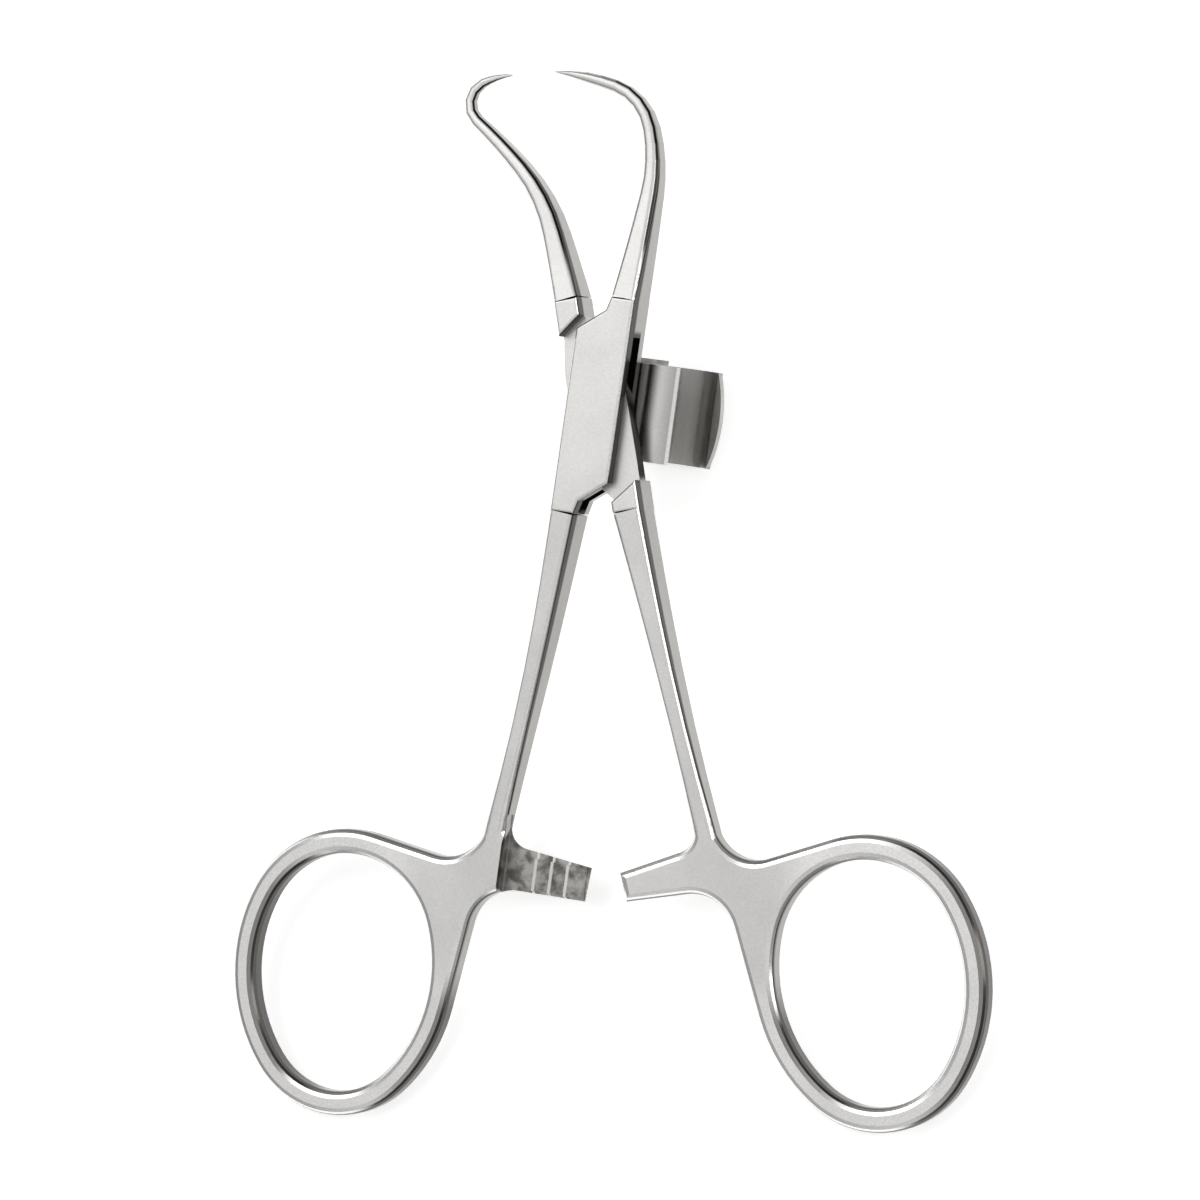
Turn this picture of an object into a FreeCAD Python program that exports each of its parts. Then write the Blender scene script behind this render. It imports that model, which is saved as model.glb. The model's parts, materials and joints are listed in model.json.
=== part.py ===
import FreeCAD, Part
import math
import os

from FreeCAD import Placement, Rotation, Vector

# Towel clamp with a box lock, a ratchet and a tube clip. Millimetres.
# Each half is drawn in its own plane: origin on the lock pin, +Y along the half's
# axis to the jaws, +Z to the front. The halves are then turned about the pin to
# their open rest angle, and the clamp is laid down on its finger rings and tube clip.

SIZES = [
    ("boxThickness", 4.6, "lock, front to back"),
    ("boxWidth", 5.8, "slotted lock plates"),
    ("cornerReach", 7.7, "pin to the square corners of the plates"),
    ("shoulderSlope", 38, "slope of the plates' ends, degrees"),
    ("rootReach", 11.4, "pin to where jaws and shanks start"),
    ("rootWidth", 2.6, "jaw or shank at the lock"),
    ("rootOffset", 1.8, "sideways set of the roots from the axis"),
    ("arrisRadius", 0.3, "rounded edges of the lock"),
    ("slotReach", 7.5, "pin to the slot's ends on the plates' edges"),
    ("slotClearance", 0.1, "gap on each face of the tongue"),
    ("tongueThickness", 1.7, "tongue in the slot"),
    ("tongueWidth", 6.4, "tongue across its axis"),
    ("tongueJawOffset", 1.25, "sideways set of the tongue half's jaw"),
    ("tongueRootWidth", 3.0, "tongue half's shank at the lock"),
    ("tongueRootOffset", 2.0, "sideways set of the tongue half's shank"),
    ("upperShoulder", 8.6, "pin to the middle of the tongue half's upper shoulder"),
    ("lowerShoulder", 9.3, "pin to the middle of the tongue half's lower shoulder"),
    ("pinDiameter", 2.6, "lock pin"),
    ("pinClearance", 0.04, "radial gap of the tongue on the pin"),
    ("boxAngle", 8.3, "lean of the slotted half at rest, degrees"),
    ("tongueAngle", 9.0, "lean of the tongue half at rest, degrees"),
    ("neckWidth", 1.8, "jaw where its straight taper ends"),
    ("neckThickness", 2.9, "jaw where its straight taper ends"),
    ("neckReach", 13, "straight taper of a jaw"),
    ("pointWidth", 1.2, "jaw where its ground point starts"),
    ("pointLength", 4.5, "ground point"),
    ("tipDiameter", 0.16, "blunt end of the point"),
    ("shankSplay", 5.3, "splay of a shank from the axis, degrees"),
    ("shankWaist", 1.75, "narrowest width of a shank"),
    ("waistReach", 33, "pin to the narrowest place"),
    ("boxShankBow", 0.35, "inward bow of the slotted half's shank"),
    ("tongueShankBow", 0.1, "inward bow of the tongue half's shank"),
    ("footReach", 44, "pin to the foot of a shank"),
    ("footWidth", 2.2, "foot of a shank"),
    ("webThickness", 2.9, "web, ratchet arm and ring, front to back"),
    ("webBevel", 0.55, "first bevel of the web's and ring's edges"),
    ("webNeckShift", 0.5, "shank's outer edge to the crook between shank and ring"),
    ("webNeckFall", 5.55, "foot to that crook"),
    ("webNeckRadius", 4.7, "that crook"),
    ("armFootGap", 2.45, "foot to the ratchet arm's upper edge at its root"),
    ("armWidth", 4.85, "ratchet arm's upper edge at its root to its lower edge"),
    ("armRootRadius", 2.2, "corner between shank and arm"),
    ("armRingGap", 1.6, "ring's inner side to the corner under the arm"),
    ("armRingRadius", 4.6, "that corner"),
    ("boxArmReach", 5.75, "slotted half's arm past the axis"),
    ("boxArmFall", 1.1, "fall of the slotted half's arm to its end"),
    ("tongueArmReach", 5.05, "tongue half's arm past the axis"),
    ("tongueArmFall", 1.6, "fall of the tongue half's arm to its end"),
    ("armStep", 3.8, "side step of the arm's mating face, from the axis"),
    ("toothPitch", 1.8, "ratchet teeth"),
    ("toothLead", 2.6, "first tooth, at the arm's end"),
    ("toothHeight", 0.45, "ratchet teeth"),
    ("toothClearance", 0.06, "tooth tops to the middle plane"),
    ("toothMargin", 0.35, "teeth in from the arm's edges"),
    ("toothBed", 0.3, "teeth sunk into the arm"),
    ("toothCount", 3, "teeth on each arm"),
    ("ringOffset", 20.2, "ring centre from the half's axis"),
    ("ringFootGap", 18.9, "foot to the ring centre along the axis"),
    ("ringHoleWidth", 20.2, "finger hole, across"),
    ("ringHoleHeight", 25.2, "finger hole, along"),
    ("ringSideRadius", 15.8, "side curve of the finger hole"),
    ("ringWidest", 0.6, "ring centre to the hole's widest place"),
    ("ringBar", 2.55, "ring bar in the clamp's plane"),
    ("clipRadius", 4.65, "outer radius of the tube clip"),
    ("clipSheet", 0.5, "sheet of the tube clip"),
    ("clipLength", 10.1, "tube clip along the lock"),
    ("clipBelow", 5.1, "pin to the tube clip's lower end"),
    ("clipGap", 0.3, "tongue's back to the tube clip"),
    ("clipSeatGap", 0.02, "lock's back edge to the tube clip"),
    ("clipNear", 68, "free edge of the clip's front wall, degrees"),
    ("clipFar", -35, "bend at the clip's back wall, degrees"),
    ("clipLip", 1.25, "flared lip"),
    ("clipFlare", 24, "flare of the lip, degrees"),
    ("strapSheet", 0.7, "sheet of the clip's foot"),
    ("strapWidth", 4.2, "foot on the back of the lock"),
    ("strapWrap", 92, "saddle of the foot round the clip, degrees"),
    ("strapRise", 0.5, "foot past the clip's upper end"),
]

# Jaw centrelines from root to point: runs of length and turn, plus to the right.
BOX_JAW_HEADING = 5.3
BOX_JAW_RUNS = [(11.0, -2.2), (6.8, -23.6), (6.2, -56.9), (7.1, -12.8)]
TONGUE_JAW_HEADING = -5.0
TONGUE_JAW_RUNS = [(7.0, -1.7), (8.0, -25.7), (7.3, -7.2), (4.7, 115.0), (3.4, 23.4)]

BACK, FRONT = -1, 1
LEFT, RIGHT = -1, 1

doc = FreeCAD.newDocument("TowelClamp")


def write_sheet():
    sizes = doc.addObject("Spreadsheet::Sheet", "Sizes")
    for row, (alias, number, note) in enumerate(SIZES, start=1):
        sizes.set(f"A{row}", alias)
        sizes.set(f"B{row}", str(number))
        sizes.set(f"C{row}", note)
        sizes.setAlias(f"B{row}", alias)
    doc.recompute()
    return sizes


sheet = write_sheet()


def size(alias):
    return float(sheet.get(alias))


def blend(start, end, share):
    return start + (end - start) * share


def arm_top():
    """Pin to the ratchet arm's upper edge at its root."""
    return size("footReach") + size("armFootGap")


def arm_bottom():
    """Pin to the ratchet arm's lower edge."""
    return arm_top() + size("armWidth")


def ring_reach():
    """Pin to the ring centre along the axis."""
    return size("footReach") + size("ringFootGap")


def recomputed(item):
    doc.recompute()
    return item


def sketch(name, curves, placement=Placement()):
    item = doc.addObject("Sketcher::SketchObject", name)
    item.Placement = placement
    item.addGeometry(curves)
    return item


def rounded(corners, closed=True):
    """Lines and arcs through corners (x, y, radius); a corner is round where radius is set."""
    curves = []
    ends = []
    for index, (x, y, radius) in enumerate(corners):
        here = Vector(x, y, 0)
        if not radius:
            ends.append((here, None, here))
            continue
        before = Vector(*corners[index - 1][:2], 0)
        after = Vector(*corners[(index + 1) % len(corners)][:2], 0)
        to_before = (before - here).normalize()
        to_after = (after - here).normalize()
        half = to_before.getAngle(to_after) / 2
        reach = radius / math.tan(half)
        middle = here + (to_before + to_after).normalize() * (radius / math.sin(half) - radius)
        ends.append((here + to_before * reach, middle, here + to_after * reach))
    for index, (start, middle, end) in enumerate(ends):
        if middle:
            curves.append(Part.Arc(start, middle, end))
        if closed or index + 1 < len(ends):
            curves.append(Part.LineSegment(end, ends[(index + 1) % len(ends)][0]))
    return curves


def extrude(name, profile, length, symmetric=True):
    """A solid from a sketch; length is an expression on the sheet."""
    item = doc.addObject("Part::Extrusion", name)
    item.Base = profile
    item.DirMode = "Normal"
    item.Solid = True
    item.Symmetric = symmetric
    item.setExpression("LengthFwd", length)
    return recomputed(item)


def plate(name, corners, length):
    """A plate of even thickness about the middle plane."""
    return extrude(name, sketch(name + "Sketch", rounded(corners)), length)


def cylinder(name, radius, height, placement):
    item = doc.addObject("Part::Cylinder", name)
    item.setExpression("Radius", radius)
    item.setExpression("Height", height)
    item.Placement = placement
    return recomputed(item)


def level_edges(shape, levels):
    """Numbers of the edges that lie flat at one of the heights, on either side of the middle plane."""
    found = []
    for number, edge in enumerate(shape.Edges, start=1):
        heights = [abs(vertex.Z) for vertex in edge.Vertexes] + [abs(edge.CenterOfMass.z)]
        if any(all(abs(height - level) < 1e-4 for height in heights) for level in levels):
            found.append(number)
    return found


def eased(name, kind, base, radius, levels):
    """Rounds or bevels the edges of a plate that lie at the given heights."""
    item = doc.addObject(kind, name)
    item.Base = base
    item.Edges = [(number, radius, radius) for number in level_edges(base.Shape, levels)]
    return recomputed(item)


def fuse(name, items):
    item = doc.addObject("Part::MultiFuse", name)
    item.Shapes = items
    item.Refine = True
    return recomputed(item)


def cut(name, base, tool):
    item = doc.addObject("Part::Cut", name)
    item.Base = base
    item.Tool = tool
    item.Refine = True
    return recomputed(item)


def loft(name, sections):
    item = doc.addObject("Part::Loft", name)
    item.Sections = sections
    item.Solid = True
    item.Ruled = True
    return recomputed(item)


def across(name, centre, heading, width, thickness, roundness):
    """A rounded rectangle across a limb that runs at a heading from +Y."""
    radius = roundness * min(width, thickness) / 2
    x, y = width / 2, thickness / 2
    corners = [(x, y, radius), (-x, y, radius), (-x, -y, radius), (x, -y, radius)]
    side = Vector(math.cos(heading), -math.sin(heading), 0)
    along = Vector(math.sin(heading), math.cos(heading), 0)
    turn = Rotation(side, Vector(0, 0, 1), along * -1, "XYZ")
    return sketch(name, rounded(corners), Placement(centre, turn))


def stations(start, heading, runs, steps):
    """Distance, point and heading along a chain of arcs."""
    travelled = 0.0
    point = Vector(*start, 0)
    heading = math.radians(heading)
    found = [(travelled, point, heading)]
    for length, degrees in runs:
        turn = math.radians(degrees)
        for step in range(steps):
            chord = heading + turn * (step + 0.5) / steps
            point = point + Vector(math.sin(chord), math.cos(chord), 0) * (length / steps)
            travelled += length / steps
            found.append((travelled, point, heading + turn * (step + 1) / steps))
        heading += turn
    return found


def jaw(name, start, heading, runs):
    """A jaw: a straight taper, a curved taper and a ground point."""
    neck = size("neckReach")
    total = sum(length for length, _ in runs)
    point_start = total - size("pointLength")
    sections = []
    for index, (travelled, point, direction) in enumerate(stations(start, heading, runs, 4)):
        if travelled <= neck:
            share = travelled / neck
            width = blend(size("rootWidth"), size("neckWidth"), share)
            thickness = blend(size("boxThickness"), size("neckThickness"), share)
            roundness = blend(0.3, 0.8, share)
        elif travelled <= point_start:
            share = (travelled - neck) / (point_start - neck)
            width = blend(size("neckWidth"), size("pointWidth"), share)
            thickness = blend(size("neckThickness"), size("pointWidth"), share)
            roundness = blend(0.8, 0.94, share)
        else:
            share = (travelled - point_start) / size("pointLength")
            width = blend(size("pointWidth"), size("tipDiameter"), share ** 1.3)
            thickness = width
            roundness = 0.94
        sections.append(across(f"{name}Section{index}", point, direction, width, thickness, roundness))
    return loft(name, sections)


def shank_centre(reach, offset="rootOffset"):
    """Sideways set of a shank's middle; every shank meets its web at the same place."""
    foot = size("rootOffset") + (size("footReach") - size("rootReach")) * math.tan(math.radians(size("shankSplay")))
    share = (reach - size("rootReach")) / (size("footReach") - size("rootReach"))
    return blend(size(offset), foot, share)


def shank(name, side, root_offset, root_width, bow):
    """A shank from the lock to the web; side is the way the handle leans."""
    root = size("rootReach")
    waist = size("waistReach")
    foot = size("footReach")
    heading = math.pi - side * math.radians(size("shankSplay"))
    sections = []
    for index, share in enumerate((0, 0.1, 0.22, 0.36, 0.52, 0.7, 0.86, 1, 1.08)):
        reach = blend(root, foot, share)
        if reach < waist:
            width = blend(size("shankWaist"), size(root_width), ((waist - reach) / (waist - root)) ** 1.7)
        else:
            width = blend(size("shankWaist"), size("footWidth"), ((reach - waist) / (foot - waist)) ** 2)
        thickness = blend(size("boxThickness"), size("webThickness"), min(share, 1))
        inward = size(bow) * math.sin(math.pi * min(share, 1))
        centre = Vector(side * (shank_centre(reach, root_offset) - inward), -reach, 0)
        sections.append(across(f"{name}Section{index}", centre, heading, width, thickness, blend(0.3, 0.6, share)))
    return loft(name, sections)


class RingOutline:
    """The egg-shaped outline of four arcs round a finger hole; +x runs away from the half's axis."""

    def __init__(self, grow):
        across_half = size("ringHoleWidth") / 2
        along_half = size("ringHoleHeight") / 2
        sides = size("ringSideRadius")
        widest = size("ringWidest")
        self.middle = Vector(size("ringOffset"), -ring_reach(), 0)

        def end_radius(reach):
            return (2 * sides * across_half - across_half ** 2 - reach ** 2) / (2 * (sides - reach))

        top = end_radius(along_half - widest)
        bottom = end_radius(along_half + widest)
        self.right = (self.middle + Vector(across_half - sides, widest, 0), sides + grow)
        self.left = (self.middle + Vector(sides - across_half, widest, 0), sides + grow)
        self.above = (self.middle + Vector(0, along_half - top, 0), top + grow)
        self.below = (self.middle + Vector(0, bottom - along_half, 0), bottom + grow)
        self.up = math.atan2(self.above[0].y - self.right[0].y, self.above[0].x - self.right[0].x)
        self.down = math.atan2(self.right[0].y - self.below[0].y, self.below[0].x - self.right[0].x)

    def arc(self, part, start, end, side):
        centre, radius = part
        angles = (start, (start + end) / 2, end)
        points = [centre + Vector(math.cos(angle), math.sin(angle), 0) * radius for angle in angles]
        return Part.Arc(*[Vector(side * point.x, point.y, 0) for point in points])

    def closed(self, side):
        return [self.arc(self.right, -self.down, self.up, side),
                self.arc(self.above, self.up, math.pi - self.up, side),
                self.arc(self.left, math.pi - self.up, math.pi + self.down, side),
                self.arc(self.below, math.pi + self.down, 2 * math.pi - self.down, side)]

    def open_to(self, top_angle, left_angle, side):
        """From the top round by the right and the bottom to the left side."""
        return [self.arc(self.above, top_angle, self.up, side), self.arc(self.right, self.up, -self.down, side),
                self.arc(self.below, -self.down, self.down - math.pi, side),
                self.arc(self.left, math.pi + self.down, left_angle, side)]


def tangent_angle(point, part, turn):
    """Where on a circle a line from a point touches it; turn picks one of the two places."""
    centre, radius = part
    away = point - centre
    return math.atan2(away.y, away.x) + turn * math.acos(radius / away.Length)


def on_part(part, angle):
    return part[0] + Vector(math.cos(angle), math.sin(angle), 0) * part[1]


def web(name, side, arm_reach, arm_fall):
    """The plate of web, ring and ratchet arm in one outline; +x runs to the ring."""
    foot_x = shank_centre(size("footReach"))
    foot_y = -size("footReach")
    half_foot = size("footWidth") / 2
    high = -arm_top()
    low = -arm_bottom()
    ring = RingOutline(size("ringBar"))
    neck = Vector(foot_x + half_foot + size("webNeckShift"), foot_y - size("webNeckFall"), 0)
    crook_x = ring.middle.x - size("ringHoleWidth") / 2 - size("ringBar") - size("armRingGap")
    crook = Vector(crook_x, low, 0)
    top_angle = tangent_angle(neck, ring.above, -1)
    left_angle = tangent_angle(crook, ring.left, 1) % (2 * math.pi)
    touch_left = on_part(ring.left, left_angle)
    touch_top = on_part(ring.above, top_angle)
    corners = [
        (touch_left.x, touch_left.y, 0),
        (crook.x, crook.y, size("armRingRadius")),
        (-arm_reach + 0.25, low + 0.2, 0),
        (-arm_reach, high - arm_fall, 0),
        (foot_x - half_foot + 0.15, high - 0.1, size("armRootRadius")),
        (foot_x - half_foot - 0.05, foot_y + 0.6, 0),
        (foot_x + half_foot - 0.05, foot_y + 0.6, 0),
        (neck.x, neck.y, size("webNeckRadius")),
        (touch_top.x, touch_top.y, 0),
    ]
    curves = rounded([(side * x, y, radius) for x, y, radius in corners], closed=False)
    blank = extrude(name + "Blank", sketch(name + "Sketch", curves + ring.open_to(top_angle, left_angle, side)),
                    "Sizes.webThickness")
    hole_sketch = sketch(name + "HoleSketch", RingOutline(0).closed(side))
    pierced = cut(name + "Pierced", blank, extrude(name + "Hole", hole_sketch, "Sizes.webThickness + 2"))
    half = size("webThickness") / 2
    bevel = size("webBevel")
    bevelled = eased(name + "Bevelled", "Part::Chamfer", pierced, bevel, [half])
    return eased(name + "Rounded", "Part::Chamfer", bevelled, bevel * 0.42, [half, half - bevel])


def mating_cut(name, side, arm_reach, face):
    """What is milled off the arm so that the two arms pass face to face."""
    low = -arm_bottom() - 2
    high = -arm_top() + 3
    item = doc.addObject("Part::Box", name)
    item.setExpression("Length", "Sizes.armStep + %s + 1" % arm_reach)
    item.setExpression("Height", "Sizes.webThickness / 2 + Sizes.toothClearance + Sizes.toothHeight + 1")
    item.Width = high - low
    length = size("armStep") + size(arm_reach[6:]) + 1
    x = side * size("armStep") - (length if side > 0 else 0)
    z = -(size("toothClearance") + size("toothHeight")) if face > 0 else -(size("webThickness") / 2 + 1)
    item.Placement = Placement(Vector(x, low, z), Rotation())
    return recomputed(item)


def teeth(name, side, arm_reach, arm_fall, face):
    """Saw teeth on the arm: each climbs from the arm's end and drops towards the shank."""
    top = -face * size("toothClearance")
    floor = top - face * size("toothHeight")
    bed = floor - face * size("toothBed")
    start = -arm_reach + size("toothMargin")
    drop = -arm_reach + size("toothLead")
    points = [(start, bed), (start, blend(floor, top, 0.2)), (drop, top), (drop, floor)]
    for _ in range(1, int(size("toothCount"))):
        drop += size("toothPitch")
        points += [(drop, top), (drop, floor)]
    points.append((drop, bed))
    low = -arm_bottom() + size("toothMargin")
    high = -arm_top() - arm_fall - 0.05
    turn = Rotation(Vector(1, 0, 0), Vector(0, 0, 1), Vector(0, -1, 0), "XYZ")
    profile = sketch(name + "Sketch", rounded([(side * x, z, 0) for x, z in points]),
                     Placement(Vector(0, high, 0), turn))
    return extrude(name, profile, str(high - low), symmetric=False)


def handle(name, side, half_shank, reach_name, fall_name, face):
    """Shank, web, ring and toothed arm of one half."""
    arm_reach = size(reach_name)
    arm_fall = size(fall_name)
    solid = fuse(name + "Blank", [half_shank, web(name + "Web", side, arm_reach, arm_fall)])
    milled = cut(name + "Milled", solid, mating_cut(name + "Mill", side, "Sizes." + reach_name, face))
    return fuse(name + "Handle", [milled, teeth(name + "Teeth", side, arm_reach, arm_fall, face)])


def slot(name):
    """The space that the tongue turns in, open at both sides of the lock."""
    half = size("boxWidth") / 2
    reach = size("slotReach")
    mouth = size("rootReach") + 0.4
    inner = size("rootOffset") - size("rootWidth") / 2 - 0.1
    wide = size("boxWidth") * 1.2
    corners = [(-wide, -reach), (-half, -reach), (-inner, -mouth), (wide, -mouth),
               (wide, reach), (half, reach), (inner, mouth), (-wide, mouth)]
    return plate(name, [(x, y, 0) for x, y in corners], "Sizes.tongueThickness + 2 * Sizes.slotClearance")


def through_hole(name, radius):
    depth = size("boxThickness") + 2
    return cylinder(name, radius, "Sizes.boxThickness + 2", Placement(Vector(0, 0, -depth / 2), Rotation()))


def box_half():
    """The slotted half: left ring, two lock plates and the right jaw."""
    edge = size("boxWidth") / 2
    reach = size("cornerReach")
    root = size("rootReach")
    near = size("rootOffset") - size("rootWidth") / 2
    far = size("rootOffset") + size("rootWidth") / 2
    rise = (near + edge) * math.tan(math.radians(size("shoulderSlope")))
    corners = [(-far, -root, 0), (-edge, reach, 0), (near - 0.4, reach + rise * 0.85, 0), (near, root, 0),
               (far, root, 0), (edge, -reach, 0), (-near + 0.4, -reach - rise * 0.85, 0), (-near, -root, 0)]
    lock = plate("lockPlate", corners, "Sizes.boxThickness")
    lock = eased("lockEased", "Part::Fillet", lock, size("arrisRadius"), [size("boxThickness") / 2])
    right_jaw = jaw("rightJaw", (size("rootOffset"), root), BOX_JAW_HEADING, BOX_JAW_RUNS)
    left_shank = shank("leftShank", LEFT, "rootOffset", "rootWidth", "boxShankBow")
    forging = fuse("boxForging", [lock, right_jaw, handle("left", LEFT, left_shank, "boxArmReach", "boxArmFall", FRONT)])
    slotted = cut("boxSlotted", forging, slot("lockSlot"))
    return cut("box_half", slotted, through_hole("boxPinHole", "Sizes.pinDiameter / 2"))


def tongue_half():
    """The tongue half: right ring, the tongue in the slot and the left jaw."""
    half = size("boxThickness") / 2
    root = size("rootReach")
    upper = size("upperShoulder")
    lower = -size("lowerShoulder")
    width = size("rootWidth") / 2
    jaw_x = -size("tongueJawOffset")
    shank_x = size("tongueRootOffset")
    shank_width = size("tongueRootWidth") / 2
    fall = width * math.tan(math.radians(35))
    edge = size("tongueWidth") / 2
    upper_block = plate("upperRoot", [(jaw_x - width, upper - fall, 0), (jaw_x + width, upper + fall, 0),
                                      (jaw_x + width, root, 0), (jaw_x - width, root, 0)], "Sizes.boxThickness")
    lower_block = plate("lowerRoot", [(shank_x - shank_width, lower - fall, 0),
                                      (shank_x + shank_width, lower + fall, 0),
                                      (shank_x + shank_width, -root, 0), (shank_x - shank_width, -root, 0)],
                        "Sizes.boxThickness")
    tongue = plate("tongue", [(jaw_x - width, root, 0), (jaw_x - width, upper - 1.5, 0), (-edge + 0.2, 4, 0),
                              (-edge + 0.2, -6, 0), (shank_x - shank_width, lower - 0.8, 0),
                              (shank_x - shank_width, -root, 0), (shank_x + shank_width, -root, 0),
                              (edge + 0.3, -6, 0), (edge + 0.1, 4.5, 0),
                              (jaw_x + width, upper + 0.8, 0), (jaw_x + width, root, 0)], "Sizes.tongueThickness")
    blocks = [eased(block.Name + "Eased", "Part::Fillet", block, size("arrisRadius"), [half])
              for block in (upper_block, lower_block)]
    left_jaw = jaw("leftJaw", (jaw_x, root), TONGUE_JAW_HEADING, TONGUE_JAW_RUNS)
    right_shank = shank("rightShank", RIGHT, "tongueRootOffset", "tongueRootWidth", "tongueShankBow")
    right_handle = handle("right", RIGHT, right_shank, "tongueArmReach", "tongueArmFall", BACK)
    forging = fuse("tongueForging", blocks + [tongue, left_jaw, right_handle])
    return cut("tongue_half", forging, through_hole("tonguePinHole", "Sizes.pinDiameter / 2 + Sizes.pinClearance"))


def clip_centre():
    """Centre of the tube clip, which stands just clear of the lock's back edge and behind the tongue."""
    radius = size("clipRadius")
    z = -size("tongueThickness") / 2 - size("clipGap") - radius
    drop = -size("boxThickness") / 2 - z
    x = size("boxWidth") / 2 + math.sqrt((radius + size("clipSeatGap")) ** 2 - drop ** 2)
    return Vector(x, 0, z)


# Sketches for the clip lie across the lock: sketch x is the clamp's x, sketch y is its z.
ACROSS_LOCK = Rotation(Vector(1, 0, 0), Vector(0, 0, 1), Vector(0, -1, 0), "XYZ")


def around(radius, degrees):
    """A point round the tube clip's centre, in a sketch across the lock."""
    centre = clip_centre()
    angle = math.radians(degrees)
    return Vector(centre.x + radius * math.cos(angle), centre.z + radius * math.sin(angle), 0)


def sector(inner, outer, start, end):
    """The outline of a curved strip of sheet between two angles."""
    middle = (start + end) / 2
    return [Part.Arc(around(outer, start), around(outer, middle), around(outer, end)),
            Part.LineSegment(around(outer, end), around(inner, end)),
            Part.Arc(around(inner, end), around(inner, middle), around(inner, start)),
            Part.LineSegment(around(inner, start), around(outer, start))]


def tube_clip():
    """A C of spring sheet; its back wall ends in a flared lip with a rounded end."""
    outer = size("clipRadius")
    inner = outer - size("clipSheet")
    low = -size("clipBelow")
    high = low + size("clipLength")
    place = Placement(Vector(0, high, 0), ACROSS_LOCK)
    curl = extrude("clipCurl", sketch("clipCurlSketch", sector(inner, outer, size("clipNear"), 360 + size("clipFar")),
                                      place), "Sizes.clipLength", symmetric=False)
    lip = size("clipLip")
    run = math.radians(size("clipFar") + 90 - size("clipFlare"))
    along = Vector(math.cos(run), math.sin(run), 0)
    bend_in = around(inner, size("clipFar"))
    bend_out = around(outer, size("clipFar"))
    corners = [bend_in, bend_out, bend_out + along * lip, bend_in + along * lip]
    strip = extrude("clipStrip", sketch("clipStripSketch", rounded([(p.x, p.y, 0) for p in corners]), place),
                    "Sizes.clipLength", symmetric=False)
    half = size("clipLength") / 2
    bow = (half ** 2 + lip ** 2) / (2 * lip)
    through = Vector(along.y, -along.x, 0)
    base = bend_in + along * (lip - bow) - through * 3
    rounder = cylinder("clipRounder", "(Sizes.clipLength ^ 2 / 4 + Sizes.clipLip ^ 2) / (2 * Sizes.clipLip)",
                       "6 + Sizes.clipSheet",
                       Placement(Vector(base.x, low + half, base.y),
                                 Rotation(Vector(0, 0, 1), Vector(through.x, 0, through.y))))
    flare = doc.addObject("Part::Common", "clipFlare")
    flare.Base = strip
    flare.Tool = rounder
    return fuse("tube_clip", [curl, recomputed(flare)])


def clip_foot():
    """The brazed foot: a flat on the back of the lock and a saddle round the clip."""
    radius = size("clipRadius")
    gauge = size("strapSheet")
    low = -size("clipBelow")
    high = low + size("clipLength") + size("strapRise")
    back = -size("boxThickness") / 2
    centre = clip_centre()
    start = 180 - math.degrees(math.asin((back - gauge / 2 - centre.z) / (radius + gauge / 2)))
    length = "Sizes.clipLength + Sizes.strapRise"
    saddle = extrude("strapSaddle", sketch("strapSaddleSketch",
                                           sector(radius, radius + gauge, start, start + size("strapWrap")),
                                           Placement(Vector(0, high, 0), ACROSS_LOCK)), length, symmetric=False)
    flat = doc.addObject("Part::Box", "strapFlat")
    flat.setExpression("Length", "Sizes.strapWidth")
    flat.setExpression("Width", length)
    flat.setExpression("Height", "Sizes.strapSheet")
    meet = around(radius + gauge * 0.6, start).x
    flat.Placement = Placement(Vector(meet - size("strapWidth"), low, back - gauge), Rotation())
    room = cylinder("strapRoom", "Sizes.clipRadius", length + " + 2",
                    Placement(Vector(centre.x, low - 1, centre.z), Rotation(Vector(0, 0, 1), Vector(0, 1, 0))))
    return cut("clip_foot", fuse("strapBlank", [saddle, recomputed(flat)]), room)


def lock_pin():
    """The lock pin, riveted and ground flush with both plates."""
    return cylinder("lock_pin", "Sizes.pinDiameter / 2", "Sizes.boxThickness",
                    Placement(Vector(0, 0, -size("boxThickness") / 2), Rotation()))


def lean(degrees):
    """A turn about the lock pin."""
    return Placement(Vector(0, 0, 0), Rotation(Vector(0, 0, 1), degrees))


def lying(pieces):
    """Tilts and lifts the clamp so that it lies on its rings and its tube clip."""
    ring_half = size("webThickness") / 2
    angle = math.radians(size("boxAngle"))
    ring_end = ring_reach() + size("ringHoleHeight") / 2 + size("ringBar") / 2
    ring_y = -ring_end * math.cos(angle) + size("ringOffset") * math.sin(angle)
    centre = clip_centre()
    clip_y = -size("clipBelow") * math.cos(angle) - centre.x * math.sin(angle)
    clip_bottom = centre.z - size("clipRadius")
    slope = math.degrees(math.atan2(-ring_half - clip_bottom, clip_y - ring_y))
    tilt = Placement(Vector(0, 0, 0), Rotation(Vector(1, 0, 0), slope))
    copies = []
    for item, turn in pieces:
        copy = item.Shape.copy()
        copy.Placement = tilt.multiply(turn).multiply(item.Placement)
        copies.append(copy)
    box = Part.makeCompound(copies).optimalBoundingBox(False, False)
    lift = Placement(Vector(-box.Center.x, -box.Center.y, -box.ZMin), Rotation())
    return lift.multiply(tilt)


box_lean = lean(-size("boxAngle"))
tongue_lean = lean(size("tongueAngle"))
pieces = [(box_half(), box_lean), (tongue_half(), tongue_lean), (lock_pin(), box_lean),
          (tube_clip(), box_lean), (clip_foot(), box_lean)]
rest = lying(pieces)
for item, turn in pieces:
    item.Label = item.Name
    item.Placement = rest.multiply(turn).multiply(item.Placement)
doc.recompute()

for item in doc.Objects:
    if "Invalid" in item.State or "Error" in item.State:
        raise RuntimeError(f"{item.Label} failed to build")
for item, _ in pieces:
    if item.Shape.isNull() or not item.Shape.isValid() or len(item.Shape.Solids) != 1:
        raise RuntimeError(f"{item.Label} has no single valid solid")

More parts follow.
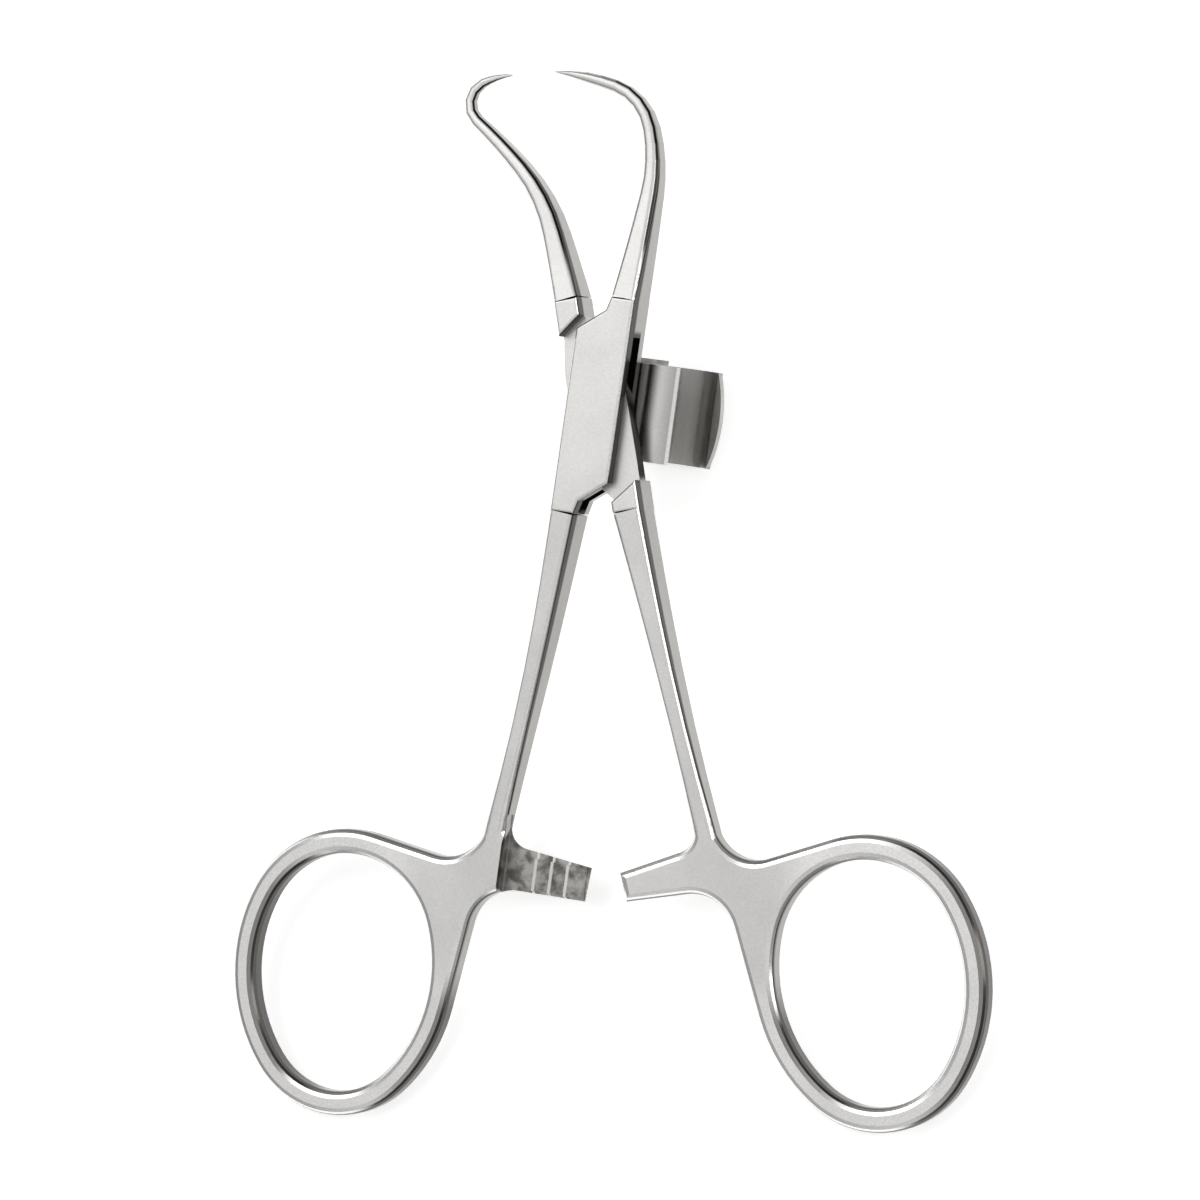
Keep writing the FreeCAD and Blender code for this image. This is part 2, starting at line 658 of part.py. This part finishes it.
os.makedirs("parts", exist_ok=True)
for item, _ in pieces:
    item.Shape.exportStep(f"parts/{item.Label}.step")
    print(item.Label, "volume", round(item.Shape.Volume, 3))
print("rest", rest.Base, math.degrees(rest.Rotation.Angle))
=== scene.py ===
import json
import math

import bpy
from mathutils import Matrix, Vector

bl_info = {
    "name": "Towel clamp",
    "version": (1, 0, 0),
    "blender": (4, 5, 0),
    "location": "View3D > Sidebar > Towel clamp",
    "description": "Finishes a stainless towel clamp and sets it in a plain studio",
    "category": "Object",
}

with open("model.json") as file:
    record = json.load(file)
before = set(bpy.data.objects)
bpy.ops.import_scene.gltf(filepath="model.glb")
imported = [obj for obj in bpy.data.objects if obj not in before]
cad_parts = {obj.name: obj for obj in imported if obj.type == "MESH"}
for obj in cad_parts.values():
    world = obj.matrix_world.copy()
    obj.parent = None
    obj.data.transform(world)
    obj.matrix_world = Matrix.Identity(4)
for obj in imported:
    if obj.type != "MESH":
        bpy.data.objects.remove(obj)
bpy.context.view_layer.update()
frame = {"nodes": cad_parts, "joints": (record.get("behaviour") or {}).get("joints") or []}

# The lock pin is the clamp's centre, and its axis is the clamp's front.
hinge = frame["joints"][0]
PIN = Vector(hinge["pos_m"])
FRONT = Vector(hinge["axis"]).normalized()
RIGHT = Vector((1.0, 0.0, 0.0))
ALONG = FRONT.cross(RIGHT).normalized()
MM = 0.001

# Colours as sRGB hex: the steel as it looks in plain light, and the painted shade and painted highlights
# laid on it.
FLAT = "D3D2D0"
# Bevels and ring flats are painted this brighter colour as highlight and sheen.
BEVEL_AND_RING_LIGHT = "EFEEEC"
# Painted shade on the sides: dark next to the front face and lighter behind it.
SIDE_SHADE_FRONT = "2A2826"
SIDE_SHADE_BACK = "A3A19E"
SHADE = "1F1E1D"
# Painted shade on the rings' right shoulders.
RING_SHOULDER_SHADE = "5A5855"
TOOTH_DARK = "6B6864"
TOOTH_LIGHT = "B3B1AE"
# Painted highlight along each tooth crest.
TOOTH_CREST_HIGHLIGHT = "E2E1DE"
CLIP_FLAT = "BFBEBC"
CLIP_BEVEL_LIGHT = "BCBBB9"
CLIP_SIDE_SHADE = "A3A19E"
# Painted highlight along the clip's free edge.
CLIP_EDGE_HIGHLIGHT = "F7F6F4"
# The strap's colours are painted darker than the clip's, as shade where it sits behind the clip.
FOOT_FLAT_SHADE = "ADABA8"
FOOT_BEVEL_LIGHT = "A3A19E"
FOOT_SIDE_SHADE = "7B7976"

# Where each finish, painted shade and painted highlight starts and where it is full, in millimetres from
# the lock pin.
RING_ACROSS = (19, 27)
RING_BELOW = (-58, -64)
JAWS_ABOVE = (13, 17)
ARM_ACROSS = (-3.9, -3.6)
ARM_BELOW = (-43.4, -43.8)
TEETH_FROM = (-1.2, -1.0)
TEETH_TO = (4.2, 4.0)
TOOTH_PITCH = 1.8
TOOTH_START = -0.45
TONGUE_REACH = (7.8, 7.2)
TONGUE_DEPTH = (1.05, 0.9)
SLOT_REACH = (11.5, 10.5)
SLOT_WALL_FRONT = (-0.88, -0.92)
SLOT_WALL_BACK = (-1.1, -1.05)
SIDE_SHADE_BAND = (1.0, 0.6)
CLIP_WALL_FRONT = (-2.2, -2.0)
CLIP_FREE_EDGE = (7.3, 7.45)

# How squarely a surface looks to the front where each finish, painted shade and painted highlight starts
# and where it is full.
FLAT_FACING = (0.93, 0.99)
BEVEL_FACING = (0.35, 0.7)
JAW_BEVEL_FRONT = (0.9, 0.78)
JAW_BEVEL_SIDE = (0.4, 0.55)
RING_BEVEL_FRONT = (0.97, 0.9)

# How squarely a surface looks to the right, for the painted shade on the right shoulders of jaws and
# rings.
JAW_FACING_RIGHT = (0.1, 0.3)
RING_FACING_RIGHT = (0.1, 0.35)

# A tooth crest's place and half width, as shares of the pitch, for the painted highlight along it, and
# the milled face round it.
CREST_PLACE = 0.08
CREST_HALF = (0.12, 0.06)
BLOTCH = 1.2 * MM
BLOTCH_SPAN = (0.35, 0.65)
MILLED_ROUGHNESS = 0.5

# How much the bead pits and the uneven blasting lighten and darken the steel, and how deep the pits look.
NOISE_SPAN = (0.3, 0.7)
PIT_SHADE = (0.96, 1.04)
CLOUD_SHADE = (0.95, 1.05)
PIT_STRENGTH = 0.07
PIT_DEPTH = 0.02 * MM

# The photograph's frame: the point it is centred on, from the pin, and a long lens.
AIM_ALONG = -20.08 * MM
AIM_RIGHT = 1.45 * MM
SENSOR = 36
LENS = 159.55
SHIFT = -0.0108

# Softboxes: metres to the right, along and in front of the clamp's middle, then width and height.
MIDDLE_ALONG = -20 * MM
KEY_AWAY = (-0.35, 0.35, 0.75)
KEY_SIZE = (0.6, 0.6)
SIDE_AWAY = (0.7, 0.1, 0.3)
SIDE_SIZE = (0.25, 0.7)
SOFTBOX_POWER = 1.6

PAPER = "F2F2F2"
PAPER_ROUGHNESS = 0.9
PAPER_GLOW = 0.5
WHITE = (1, 1, 1, 1)
ROOM_SIDES = "8C8C8C"
ROOM_FRONT = "EEEEEE"
ROOM_SPAN = (0.15, 0.85)
ROOM_STRENGTH = 0.8

# The slotted half's jaw leans to the right of the clamp's axis as it stands open.
BOX_LEAN = math.radians(8.3)
BOX_ALONG = ALONG * math.cos(BOX_LEAN) + RIGHT * math.sin(BOX_LEAN)
BOX_RIGHT = RIGHT * math.cos(BOX_LEAN) - ALONG * math.sin(BOX_LEAN)


def linear(hex_colour):
    """An sRGB hex colour as linear red, green, blue and alpha."""
    channels = []
    for start in (0, 2, 4):
        value = int(hex_colour[start:start + 2], 16) / 255
        channels.append(value / 12.92 if value <= 0.04045 else ((value + 0.055) / 1.055) ** 2.4)
    return (*channels, 1.0)


class SteelSettings(bpy.types.PropertyGroup):
    """Finish of the steel."""

    grit: bpy.props.FloatProperty(
        name="Bead grit", description="Size of the pits that glass beads leave",
        default=0.25 * MM, min=0.05 * MM, max=2 * MM, precision=5, unit="LENGTH")
    flat_roughness: bpy.props.FloatProperty(
        name="Satin roughness", description="Roughness of the blasted flats",
        default=0.42, min=0, max=1, subtype="FACTOR")
    cloud: bpy.props.FloatProperty(
        name="Blasting cloud", description="Size of the uneven patches of the blasting",
        default=9 * MM, min=1 * MM, max=50 * MM, precision=4, unit="LENGTH")
    edge_roughness: bpy.props.FloatProperty(
        name="Polish roughness", description="Roughness of edges and rings",
        default=0.2, min=0, max=1, subtype="FACTOR")


class StageSettings(bpy.types.PropertyGroup):
    """Camera, lights and floor."""

    distance: bpy.props.FloatProperty(
        name="Camera distance", description="Camera to the clamp",
        default=0.55, min=0.1, max=5, unit="LENGTH")
    yaw: bpy.props.FloatProperty(
        name="Camera yaw", description="Camera's turn to the clamp's right side",
        default=math.radians(22), subtype="ANGLE")
    floor_size: bpy.props.FloatProperty(
        name="Floor", description="Side of the floor", default=3.0, min=0.5, unit="LENGTH")


def add_node(tree, kind, inputs=None, **settings):
    """Adds a node with its settings; an input is a value or another node's output."""
    node = tree.nodes.new(kind)
    for name, value in settings.items():
        setattr(node, name, value)
    for name, value in (inputs or {}).items():
        if isinstance(value, bpy.types.NodeSocket):
            tree.links.new(value, node.inputs[name])
        else:
            node.inputs[name].default_value = value
    return node


def new_material(name):
    material = bpy.data.materials.new(name)
    material.use_nodes = True
    material.node_tree.nodes.clear()
    return material, material.node_tree


def calc(tree, operation, first, second=0.0):
    return add_node(tree, "ShaderNodeMath", {0: first, 1: second}, operation=operation).outputs["Value"]


def ramp(tree, value, low, high, start=0.0, end=1.0):
    """A smooth step from start to end as the value goes from low to high."""
    return add_node(tree, "ShaderNodeMapRange", {"Value": value, "From Min": low, "From Max": high,
                                                 "To Min": start, "To Max": end},
                    interpolation_type="SMOOTHSTEP").outputs["Result"]


def within(tree, value, span):
    """0 at the first end of a span and 1 at the other."""
    return ramp(tree, value, *span)


def all_of(tree, *masks):
    """1 where every mask is 1."""
    result = masks[0]
    for mask in masks[1:]:
        result = calc(tree, "MULTIPLY", result, mask)
    return result


def dot(tree, vector, direction):
    return add_node(tree, "ShaderNodeVectorMath", {0: vector, 1: direction},
                    operation="DOT_PRODUCT").outputs["Value"]


def mixed(tree, factor, first, second, blend_type="MIX"):
    return add_node(tree, "ShaderNodeMix", {"Factor": factor, "A": first, "B": second}, data_type="RGBA",
                    blend_type=blend_type).outputs["Result"]


def facing(tree, direction):
    """How squarely a surface looks in a direction: 1 straight at it, -1 straight away."""
    return dot(tree, add_node(tree, "ShaderNodeNewGeometry").outputs["Normal"], direction)


def distance_along(tree, place, direction):
    """How far a place lies from the lock pin in one direction, in millimetres."""
    metres = calc(tree, "SUBTRACT", dot(tree, place, direction), PIN.dot(direction))
    return calc(tree, "MULTIPLY", metres, 1 / MM)


def noise(tree, place, size, detail=2.0):
    """Noise whose grains are about one size in metres."""
    return add_node(tree, "ShaderNodeTexNoise", {"Vector": place, "Scale": 1 / size, "Detail": detail},
                    noise_dimensions="3D").outputs["Fac"]


def ring_polish_and_sheen(tree, place):
    """1 on the finger rings, which are buffed and get a painted sheen, and 0 on webs, shanks and lock."""
    across = calc(tree, "ABSOLUTE", distance_along(tree, place, RIGHT))
    along = distance_along(tree, place, ALONG)
    return calc(tree, "MAXIMUM", within(tree, across, RING_ACROSS), within(tree, along, RING_BELOW))


def jaw_shoulder_shade(tree, place, front):
    """1 on the painted shade down the right shoulder of each jaw."""
    jaws = within(tree, distance_along(tree, place, ALONG), JAWS_ABOVE)
    shoulder = all_of(tree, within(tree, front, JAW_BEVEL_FRONT), within(tree, front, JAW_BEVEL_SIDE))
    return all_of(tree, jaws, shoulder, within(tree, facing(tree, RIGHT), JAW_FACING_RIGHT))


def ring_shoulder_shade(tree, polish_and_sheen, front):
    """1 on the right shoulder of each ring's bars, painted in shade darker than the buffed flat."""
    return all_of(tree, polish_and_sheen, within(tree, front, RING_BEVEL_FRONT),
                  within(tree, facing(tree, RIGHT), RING_FACING_RIGHT))


def toothed_arm(tree, place, colour, rough):
    """The milled face of the slotted half's ratchet arm is darker, with painted highlights along the
    tooth crests.
    """
    across = distance_along(tree, place, BOX_RIGHT)
    along = distance_along(tree, place, BOX_ALONG)
    arm = all_of(tree, within(tree, across, ARM_ACROSS), within(tree, along, ARM_BELOW))
    toothed = all_of(tree, within(tree, across, TEETH_FROM), within(tree, across, TEETH_TO))
    pitches = calc(tree, "DIVIDE", calc(tree, "SUBTRACT", across, TOOTH_START), TOOTH_PITCH)
    from_crest = calc(tree, "ABSOLUTE", calc(tree, "SUBTRACT", calc(tree, "FRACT", pitches), CREST_PLACE))
    # Painted highlight along each tooth crest.
    crest_highlight = all_of(tree, arm, toothed, within(tree, from_crest, CREST_HALF))
    blotch = within(tree, noise(tree, place, BLOTCH, 4.0), BLOTCH_SPAN)
    face = mixed(tree, blotch, linear(TOOTH_DARK), linear(TOOTH_LIGHT))
    colour = mixed(tree, crest_highlight, mixed(tree, arm, colour, face), linear(TOOTH_CREST_HIGHLIGHT))
    return colour, calc(tree, "MAXIMUM", rough, calc(tree, "MULTIPLY", arm, MILLED_ROUGHNESS))


def free_edge_highlight(tree, place, colour, rough):
    """The clip's front wall gets a painted highlight along its free edge."""
    across = distance_along(tree, place, BOX_RIGHT)
    depth = distance_along(tree, place, FRONT)
    edge = all_of(tree, within(tree, depth, CLIP_WALL_FRONT), within(tree, across, CLIP_FREE_EDGE))
    return mixed(tree, edge, colour, linear(CLIP_EDGE_HIGHLIGHT)), rough


def steel(name, settings, flat_hex=FLAT, bevel_light_hex=BEVEL_AND_RING_LIGHT, shade_front_hex=SIDE_SHADE_FRONT, shade_back_hex=SIDE_SHADE_BACK,
          details=None):
    """Forged stainless: bead-blasted flats and polished edges and rings, with painted highlights on the
    bevels, a painted sheen on the rings and painted shade on the sides.
    """
    material, tree = new_material(name)
    place = add_node(tree, "ShaderNodeTexCoord").outputs["Object"]
    front = calc(tree, "ABSOLUTE", facing(tree, FRONT))
    flat = within(tree, front, FLAT_FACING)
    polish_and_sheen = ring_polish_and_sheen(tree, place)
    depth = distance_along(tree, place, FRONT)
    from_pin = calc(tree, "ABSOLUTE", distance_along(tree, place, ALONG))
    # The gap beside the tongue is in shade: its edges, and the wall of the slot behind them.
    gap = all_of(tree, within(tree, from_pin, TONGUE_REACH),
                 within(tree, calc(tree, "ABSOLUTE", depth), TONGUE_DEPTH))
    wall = all_of(tree, within(tree, from_pin, SLOT_REACH), flat,
                  within(tree, depth, SLOT_WALL_FRONT), within(tree, depth, SLOT_WALL_BACK))
    # Painted shade on the sides, darker next to the front face.
    side_shade = mixed(tree, within(tree, depth, SIDE_SHADE_BAND), linear(shade_front_hex), linear(shade_back_hex))
    side_shade = mixed(tree, gap, side_shade, linear(SHADE))
    # Painted highlight on the bevels between flats and sides.
    side_shade = mixed(tree, within(tree, front, BEVEL_FACING), side_shade, linear(bevel_light_hex))
    # Painted sheen on the buffed ring flats.
    colour = mixed(tree, flat, side_shade, mixed(tree, polish_and_sheen, linear(flat_hex), linear(bevel_light_hex)))
    colour = mixed(tree, wall, colour, linear(SHADE))
    # Painted shade down the jaws' right shoulders.
    colour = mixed(tree, jaw_shoulder_shade(tree, place, front), colour, linear(shade_front_hex))
    # Painted shade on the rings' right shoulders.
    colour = mixed(tree, ring_shoulder_shade(tree, polish_and_sheen, front), colour, linear(RING_SHOULDER_SHADE))
    satin = all_of(tree, flat, calc(tree, "SUBTRACT", 1.0, polish_and_sheen))
    rough = ramp(tree, satin, 0, 1, settings.edge_roughness, settings.flat_roughness)
    if details:
        colour, rough = details(tree, place, colour, rough)
    # Fine light and dark grains are the bead pits; the broad clouds are uneven blasting.
    grain = noise(tree, place, settings.grit)
    cloud = noise(tree, place, settings.cloud, 3.0)
    shade = calc(tree, "MULTIPLY", ramp(tree, grain, *NOISE_SPAN, *PIT_SHADE),
                 ramp(tree, cloud, *NOISE_SPAN, *CLOUD_SHADE))
    final = mixed(tree, 1.0, colour, shade, "MULTIPLY")
    bump = add_node(tree, "ShaderNodeBump", {
        "Height": grain, "Strength": PIT_STRENGTH, "Distance": PIT_DEPTH})
    shader = add_node(tree, "ShaderNodeBsdfPrincipled", {
        "Base Color": final, "Roughness": rough, "Metallic": 1.0, "Normal": bump.outputs["Normal"]})
    add_node(tree, "ShaderNodeOutputMaterial", {"Surface": shader.outputs["BSDF"]})
    return material


def dress(node_name, material):
    """Gives a CAD node its material in every slot and smooths its shading."""
    node = frame["nodes"][node_name]
    if not node.data.materials:
        node.data.materials.append(material)
    for index in range(len(node.data.materials)):
        node.data.materials[index] = material
    for polygon in node.data.polygons:
        polygon.use_smooth = True


class CLAMP_OT_halves(bpy.types.Operator):
    """Finish both forged halves"""

    bl_idname = "clamp.halves"
    bl_label = "Halves"

    def execute(self, context):
        settings = context.scene.clamp_steel
        slotted = steel("Forged stainless, bead blasted, slotted half", settings, details=toothed_arm)
        dress("box_half", slotted)
        dress("tongue_half", steel("Forged stainless, bead blasted, tongue half", settings))
        return {"FINISHED"}


class CLAMP_OT_pin(bpy.types.Operator):
    """Finish the lock pin"""

    bl_idname = "clamp.pin"
    bl_label = "Lock pin"

    def execute(self, context):
        dress("lock_pin", steel("Stainless pin, ground flush", context.scene.clamp_steel))
        return {"FINISHED"}


class CLAMP_OT_clip(bpy.types.Operator):
    """Finish the tube clip and its foot"""

    bl_idname = "clamp.clip"
    bl_label = "Tube clip"

    def execute(self, context):
        settings = context.scene.clamp_steel
        sheet = steel("Spring steel sheet, rolled", settings, CLIP_FLAT, CLIP_BEVEL_LIGHT, CLIP_SIDE_SHADE, CLIP_SIDE_SHADE,
                      free_edge_highlight)
        # The strap is painted darker as shade behind the clip.
        strap = steel("Stainless strap, brazed", settings, FOOT_FLAT_SHADE, FOOT_BEVEL_LIGHT, FOOT_SIDE_SHADE, FOOT_SIDE_SHADE)
        dress("tube_clip", sheet)
        dress("clip_foot", strap)
        return {"FINISHED"}


def soft_light(name, away, size):
    """A rectangular softbox that looks at the clamp's middle."""
    middle = PIN + ALONG * MIDDLE_ALONG
    place = middle + RIGHT * away[0] + ALONG * away[1] + FRONT * away[2]
    data = bpy.data.lights.new(name, "AREA")
    data.shape = "RECTANGLE"
    data.size, data.size_y = size
    data.energy = SOFTBOX_POWER
    lamp = bpy.data.objects.new(name, data)
    bpy.context.scene.collection.objects.link(lamp)
    lamp.location = place
    lamp.rotation_euler = (middle - place).to_track_quat("-Z", "Y").to_euler()


class CLAMP_OT_stage(bpy.types.Operator):
    """Make the camera, the lights and the floor"""

    bl_idname = "clamp.stage"
    bl_label = "Stage"

    def execute(self, context):
        settings = context.scene.clamp_stage
        scene = context.scene
        scene.view_settings.view_transform = "Standard"

        aim = PIN + ALONG * AIM_ALONG + RIGHT * AIM_RIGHT
        back = RIGHT * math.sin(settings.yaw) + FRONT * math.cos(settings.yaw)
        side = RIGHT * math.cos(settings.yaw) - FRONT * math.sin(settings.yaw)
        camera_data = bpy.data.cameras.new("Camera")
        camera_data.sensor_width = SENSOR
        camera_data.lens = LENS
        camera_data.shift_x = SHIFT
        camera_data.clip_start, camera_data.clip_end = 0.01, 20
        camera = bpy.data.objects.new("Camera", camera_data)
        scene.collection.objects.link(camera)
        turn = Matrix((side, ALONG, back)).transposed().to_4x4()
        camera.matrix_world = Matrix.Translation(aim + back * settings.distance) @ turn
        scene.camera = camera

        half = settings.floor_size / 2
        mesh = bpy.data.meshes.new("Floor")
        corners = [(-half, -half, 0), (half, -half, 0), (half, half, 0), (-half, half, 0)]
        mesh.from_pydata(corners, [], [(0, 1, 2, 3)])
        floor = bpy.data.objects.new("Floor", mesh)
        scene.collection.objects.link(floor)
        material, tree = new_material("White paper, matte")
        path = add_node(tree, "ShaderNodeLightPath")
        # The paper glows for camera, mirror and see-through rays only, and its shading keeps the shadow.
        seen = calc(tree, "MAXIMUM", path.outputs["Is Camera Ray"], path.outputs["Is Glossy Ray"])
        seen = calc(tree, "MAXIMUM", seen, path.outputs["Is Transmission Ray"])
        glow = calc(tree, "MULTIPLY", seen, PAPER_GLOW)
        shader = add_node(tree, "ShaderNodeBsdfPrincipled", {
            "Base Color": linear(PAPER), "Roughness": PAPER_ROUGHNESS,
            "Emission Color": WHITE, "Emission Strength": glow})
        add_node(tree, "ShaderNodeOutputMaterial", {"Surface": shader.outputs["BSDF"]})
        mesh.materials.append(material)

        soft_light("Key softbox", KEY_AWAY, KEY_SIZE)
        soft_light("Edge softbox", SIDE_AWAY, SIDE_SIZE)

        world = bpy.data.worlds.new("Studio")
        world.use_nodes = True
        tree = world.node_tree
        tree.nodes.clear()
        # The room is bright in front of the clamp and darker round its sides.
        height = dot(tree, add_node(tree, "ShaderNodeTexCoord").outputs["Generated"], FRONT)
        sky = mixed(tree, within(tree, height, ROOM_SPAN), linear(ROOM_SIDES), linear(ROOM_FRONT))
        background = add_node(tree, "ShaderNodeBackground", {"Color": sky, "Strength": ROOM_STRENGTH})
        add_node(tree, "ShaderNodeOutputWorld", {"Surface": background.outputs["Background"]})
        scene.world = world
        return {"FINISHED"}


class CLAMP_PT_panel(bpy.types.Panel):
    """The clamp's pieces and stage"""

    bl_idname = "CLAMP_PT_panel"
    bl_label = "Towel clamp"
    bl_space_type = "VIEW_3D"
    bl_region_type = "UI"
    bl_category = "Towel clamp"

    def draw(self, context):
        layout = self.layout
        for settings in (context.scene.clamp_steel, context.scene.clamp_stage):
            for name in settings.__annotations__:
                layout.prop(settings, name)
        for operator in OPERATORS:
            layout.operator(operator.bl_idname)


OPERATORS = (CLAMP_OT_halves, CLAMP_OT_pin, CLAMP_OT_clip, CLAMP_OT_stage)
CLASSES = (SteelSettings, StageSettings, *OPERATORS, CLAMP_PT_panel)


def register():
    for cls in CLASSES:
        bpy.utils.register_class(cls)
    bpy.types.Scene.clamp_steel = bpy.props.PointerProperty(type=SteelSettings)
    bpy.types.Scene.clamp_stage = bpy.props.PointerProperty(type=StageSettings)


def unregister():
    del bpy.types.Scene.clamp_stage
    del bpy.types.Scene.clamp_steel
    for cls in reversed(CLASSES):
        bpy.utils.unregister_class(cls)


def main():
    register()
    bpy.ops.clamp.halves()
    bpy.ops.clamp.pin()
    bpy.ops.clamp.clip()
    bpy.ops.clamp.stage()


if __name__ == "__main__":
    main()
